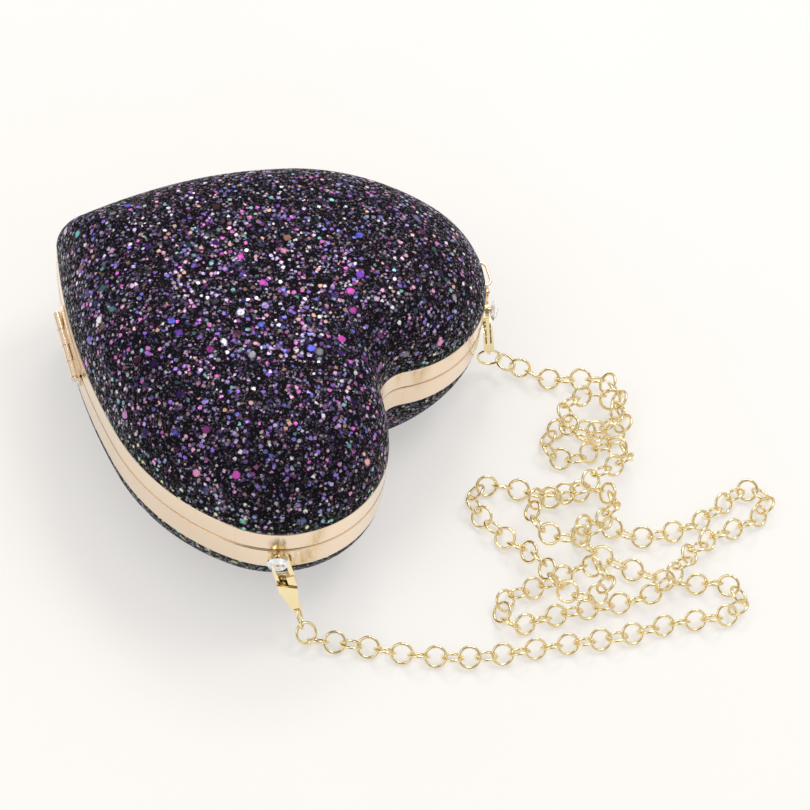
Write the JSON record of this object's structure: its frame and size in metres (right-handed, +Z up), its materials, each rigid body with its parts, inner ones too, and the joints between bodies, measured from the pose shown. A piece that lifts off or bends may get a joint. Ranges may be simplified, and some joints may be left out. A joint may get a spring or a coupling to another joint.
{
  "type": "heart shaped purse",
  "caption": "Heart shaped hard case evening purse: two domed halves in a hinged metal frame with a snap closure, and a link chain strap clipped to studs with crystal rings.",
  "frame": {"origin": "on the ground, under the middle of the case, halfway between the tip and the tops of the lobes", "axes": "+Z up through the closed case, +Y from the tip towards the cleft, +X towards the lobe that carries the near stud"},
  "size_m": [0.1699, 0.2925, 0.0842],
  "materials": {
    "frame_gold": "polished rose gold plate",
    "strap_gold": "polished pale gold plate",
    "glitter": "black glitter fabric with flakes of many colours",
    "case_shell": "moulded black plastic",
    "lining": "black satin",
    "crystal": "clear cut glass",
    "spring_steel": "bright spring wire"
  },
  "bodies": {
    "case_base": {"base_frame": "frame_gold", "base_shell": "case_shell", "base_cover": "glitter", "base_lining": "lining", "base_hinge_leaf": "frame_gold", "hinge_pin": "frame_gold", "strap_studs": "frame_gold", "crystal_rings": "crystal", "catch_tab": "frame_gold", "near_clasp_body": "strap_gold", "near_clasp_pin": "strap_gold", "near_clasp_spring": "spring_steel", "far_clasp_body": "strap_gold", "far_clasp_pin": "strap_gold", "far_clasp_spring": "spring_steel", "jump_rings": "strap_gold", "strap_near_run": "strap_gold", "strap_right_loops": "strap_gold", "strap_left_loops": "strap_gold", "strap_far_run": "strap_gold"},
    "lid": {"lid_frame": "frame_gold", "lid_shell": "case_shell", "lid_cover": "glitter", "lid_lining": "lining", "lid_hinge_leaf": "frame_gold", "catch_loop": "frame_gold"},
    "near_gate": {"near_clasp_gate": "strap_gold"},
    "far_gate": {"far_clasp_gate": "strap_gold"}
  },
  "joints": [
    {"name": "lid_hinge", "type": "hinge", "parent": "case_base", "child": "lid", "pos_m": [0.03626, -0.0542, 0.0417], "axis": [0.7327, 0.6806, 0], "range_deg": [0, 105]},
    {"name": "near_gate_pivot", "type": "hinge", "parent": "case_base", "child": "near_gate", "pos_m": [0.08029, 0.0622, 0.02623], "axis": [-0.8486, -0.4704, -0.2419], "range_deg": [0, 18], "stiffness_Nm_per_rad": 0.002, "springref_deg": -11.46},
    {"name": "far_gate_pivot", "type": "hinge", "parent": "case_base", "child": "far_gate", "pos_m": [-0.06075, 0.0778, 0.0257], "axis": [0.4649, -0.8744, -0.1392], "range_deg": [0, 18], "stiffness_Nm_per_rad": 0.002, "springref_deg": -11.46}
  ]
}
